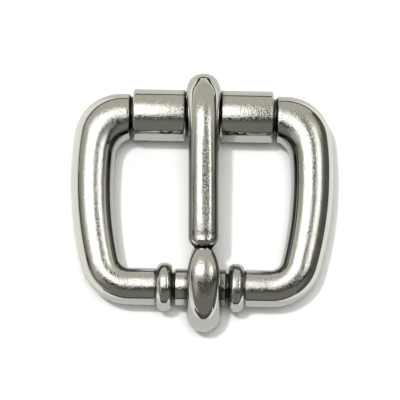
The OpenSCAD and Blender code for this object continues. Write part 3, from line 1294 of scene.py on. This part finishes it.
@dataclass
class Room:
    """The room round the table as the metal mirrors it: greys that change with the direction.

    glow_front and sweep_from are parts of the direction's unit vector, and sweep_top is the tangent
    of its height over the horizon. The other pairs are tangents of its lean from the upright.
    """

    tint: tuple[float, float, float] = (1.0, 0.98, 0.88)
    plain_grey: float = 0.22
    behind_grey: float = 0.60
    behind_from: Pair = (0.58, 0.76)
    camera_grey: float = 0.03
    camera_front: Pair = (-0.85, -0.45)
    camera_back: Pair = (-0.16, -0.26)
    between_grey: float = 0.20
    between_left: Pair = (-0.08, 0.0)
    between_right: Pair = (0.55, 0.47)
    between_front: Pair = (-0.28, -0.12)
    between_back: Pair = (0.76, 0.58)
    glow_grey: float = 0.62
    glow_left: Pair = (-2.8, -0.85)
    glow_right: Pair = (-0.6, -0.8)
    glow_front: Pair = (-0.6, -0.4)
    sweep_grey: float = 0.95
    sweep_from: Pair = (-0.40, -0.55)
    sweep_top: Pair = (0.15, 0.13)
    seen_by_camera: Colour = (0.95, 0.95, 0.95, 1.0)
    least_upward: float = 0.02

    def build(self) -> None:
        """Paint the room and hang it round the scene."""
        world = bpy.data.worlds.new("studio_room")
        world.use_nodes = True
        wiring = Wiring(world.node_tree)
        x, y, z = wiring.parts(wiring.coords("Generated"))
        up = wiring.math("MAXIMUM", z, self.least_upward)
        along, across = wiring.math("DIVIDE", y, up), wiring.math("DIVIDE", x, up)

        def inside(value: Socket, *edges: Pair) -> Socket:
            """Mask that is 1 between two edges."""
            return wiring.product(*(wiring.ramp(value, edge) for edge in edges))

        camera = inside(along, self.camera_front, self.camera_back)
        between = wiring.product(
            inside(across, self.between_left, self.between_right),
            inside(along, self.between_front, self.between_back),
        )
        # On the left, a glow under the soft box and the pale sweep of the table top.
        glow = inside(across, self.glow_left, self.glow_right)
        glow = wiring.product(glow, wiring.ramp(y, self.glow_front))
        flat = wiring.math("ADD", wiring.product(x, x), wiring.product(y, y))
        rise = wiring.math("DIVIDE", z, wiring.math("SQRT", flat))
        sweep = wiring.product(wiring.ramp(x, self.sweep_from), wiring.ramp(rise, self.sweep_top))
        grey: Value = self.plain_grey
        for mask, to in (
            (wiring.ramp(along, self.behind_from), self.behind_grey),
            (camera, self.camera_grey),
            (between, self.between_grey),
            (glow, self.glow_grey),
            (sweep, self.sweep_grey),
        ):
            grey = wiring.blend(mask, grey, to)
        seen = wiring.nodes.new("ShaderNodeLightPath").outputs["Is Camera Ray"]
        colour = wiring.blend(seen, wiring.scaled(self.tint, grey), self.seen_by_camera, Kind.COLOUR)
        wiring.feed(wiring.nodes["Background"].inputs["Color"], colour)
        bpy.context.scene.world = world


@dataclass
class Ribbon:
    """A dark ribbon round the back and the left of the table, which climbs towards the left.

    Its sizes are millimetres, its angles degrees from behind towards the left.
    """

    radius: float = 62.0
    half_thick: float = 0.5
    from_angle: int = 100
    to_angle: int = -44
    step: int = -4
    climbs_within: float = 75.0
    behind: Pair = (3.6, 8.2)
    climb: Pair = (9.6, 9.4)
    grey: float = 0.02

    def edges(self, angle: float) -> Pair:
        """Find the ribbon's lower and upper edge.

        Args:
            angle: Where it is looked at.

        Returns:
            Their heights.
        """
        share = max(0.0, min(1.0, angle / self.climbs_within))
        left = share * share * (3 - 2 * share)
        return self.behind[0] + self.climb[0] * left, self.behind[1] + self.climb[1] * left

    def build(self) -> bpy.types.Object:
        """Draw the ribbon.

        Returns:
            The ribbon.
        """
        places = []
        for angle in range(self.from_angle, self.to_angle + self.step, self.step):
            low, top = self.edges(angle)
            ground = self.radius * ray(angle + 90)
            places.append((Vector((*ground, (low + top) / 2)), float(angle), (top - low) / 2))
        centre, heading, half = places[0]
        skin = RingSkin("flag_ribbon", 4, half, centre, Axis.Z)
        skin.turn(heading, Axis.Z, centre)
        skin.heading = heading
        for centre, heading, half in places[1:]:
            skin.station(centre, heading, self.half_thick, half)
        skin.close()
        return skin.done()


@dataclass
class Studio:
    """White table, soft lights, dark flags and a grey room."""

    floor_side: float = 4.0
    floor_roughness: float = 0.9
    floor_white: float = 0.95
    reflected_shade_grey: float = 0.65
    grey_within: Pair = (0.021, 0.030)
    flag_blue: float = 0.9

    def floor(self) -> None:
        """Lay the white table top; in the metal's reflections a strip before and behind the buckle is painted
        grey, as painted shade.
        """
        clear_selection()
        bpy.ops.mesh.primitive_plane_add(size=self.floor_side, location=(0, 0, 0))
        table = bpy.context.object
        table.name = "table_top"
        paint = bpy.data.materials.new("white_table")
        paint.use_nodes = True
        wiring = Wiring(paint.node_tree)
        out_x = wiring.math("ABSOLUTE", wiring.parts(wiring.coords("Object"))[0])
        # Painted shade: glossy rays see the table grey between the two sides, for the shade lying there.
        shade_in_reflection = wiring.ramp(out_x, self.grey_within, (self.reflected_shade_grey, self.floor_white))
        in_metal = wiring.nodes.new("ShaderNodeLightPath").outputs["Is Glossy Ray"]
        shader = wiring.nodes["Principled BSDF"].inputs
        wiring.feed(shader["Roughness"], self.floor_roughness)
        wiring.feed(shader["Specular IOR Level"], 0.0)
        wiring.feed(shader["Base Color"], wiring.blend(in_metal, self.floor_white, shade_in_reflection))
        table.data.materials.append(paint)

    def hang(self, card: bpy.types.Object, grey: float) -> None:
        """Paint a flag dark and keep it out of sight, save in reflections.

        Args:
            card: The flag.
            grey: How pale it is.
        """
        paint = bpy.data.materials.new(card.name)
        paint.use_nodes = True
        shader = paint.node_tree.nodes["Principled BSDF"].inputs
        shader["Base Color"].default_value = (grey, grey, self.flag_blue * grey, 1.0)
        shader["Specular IOR Level"].default_value = 0.0
        card.data.materials.append(paint)
        card.visible_camera = card.visible_diffuse = card.visible_shadow = False

    def flag(self, name: str, centre: Pair, half: Pair, top: float, grey: float) -> None:
        """Stand a flat flag on the table.

        Args:
            name: Name of the flag.
            centre: Its place, seen from above.
            half: Half its size along x and y.
            top: Height of its upper edge.
            grey: How pale it is.
        """
        clear_selection()
        bpy.ops.mesh.primitive_cube_add(size=2.0, location=(*centre, top / 2), scale=(*half, top / 2))
        bpy.context.object.name = name
        self.hang(bpy.context.object, grey)

    def build(self) -> None:
        """Set up the studio; its flags draw the dark lines along the metal's lower edges."""
        bpy.context.scene.view_settings.view_transform = "Standard"
        self.floor()
        ribbon = Ribbon()
        self.hang(ribbon.build(), ribbon.grey)
        self.flag("flag_right", centre=(0.054, 0.002), half=(0.001, 0.062), top=0.022, grey=0.14)
        self.flag("flag_front", centre=(0.0, -0.110), half=(0.100, 0.001), top=0.018, grey=0.10)
        Room().build()
        for light in (
            SoftBox("soft_box_left", -0.140, 0.084, height=0.35, width=0.298, depth=0.292, radiance=2.4),
            SoftBox("soft_box_right", 0.284, 0.084, height=0.35, width=0.211, depth=0.304, radiance=2.0),
            Sun("main_light", (-0.24, 0.1, 1.0), energy=1.38, angle=4),
            Sun("fill_light", (0.04, 0.0, 1.0), energy=1.48, angle=30),
        ):
            light.build()


@dataclass
class PhotoCamera:
    """Long lens from above the table, tilted towards the heel bar.

    Angles are degrees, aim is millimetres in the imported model's frame.
    """

    tilt: float = 12.0
    roll: float = 1.1
    lens: float = 240.0
    px_per_mm: float = 5.45
    aim: tuple[float, float, float] = (-0.35, 0.545, 4.77)
    clip: Pair = (0.01, 10.0)

    def build(self) -> None:
        """Place the camera and make it the scene's own."""
        data = bpy.data.cameras.new("photo_camera")
        data.lens = self.lens
        distance = PICTURE_PX / self.px_per_mm * self.lens / data.sensor_width * MM
        camera = bpy.data.objects.new("photo_camera", data)
        bpy.context.collection.objects.link(camera)
        rolled = Matrix.Rotation(math.radians(self.roll), 4, "Z")
        tilted = Matrix.Rotation(math.radians(self.tilt), 4, "X")
        away = Matrix.Translation((0, 0, distance))
        camera.matrix_world = Matrix.Translation(Vector(self.aim) * MM) @ rolled @ tilted @ away
        data.clip_start, data.clip_end = self.clip
        bpy.context.scene.camera = camera


def main() -> None:
    """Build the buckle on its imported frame, then the studio and the camera."""
    logging.basicConfig(level=logging.INFO, format="%(name)s: %(message)s")
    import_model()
    groups = MetalGroups()
    # The colours carry painted shade in the crevices; the frame's also a painted dark band inside the
    # windows, and the frame's and tongue's painted dark reflection lines.
    satin = SatinMetal("satin_metal", reflection_lines=0.72).build(groups)
    frame_satin = SatinMetal("frame_satin", window_shade=0.88, reflection_lines=0.72).build(groups)
    roller_satin = SatinMetal("roller_satin", colour=(0.63, 0.625, 0.58, 1.0)).build(groups)
    pieces = [
        CastFrame(frame_satin).build(),
        Roller(roller_satin, "roller_left", left_end=-13.0).build(),
        Roller(roller_satin, "roller_right", left_end=3.1).build(),
        Tongue(satin).build(),
    ]
    for piece in pieces:
        LOG.info("%s: %d faces", piece.name, len(piece.data.polygons))
    Studio().build()
    PhotoCamera().build()


if __name__ == "__main__":
    main()
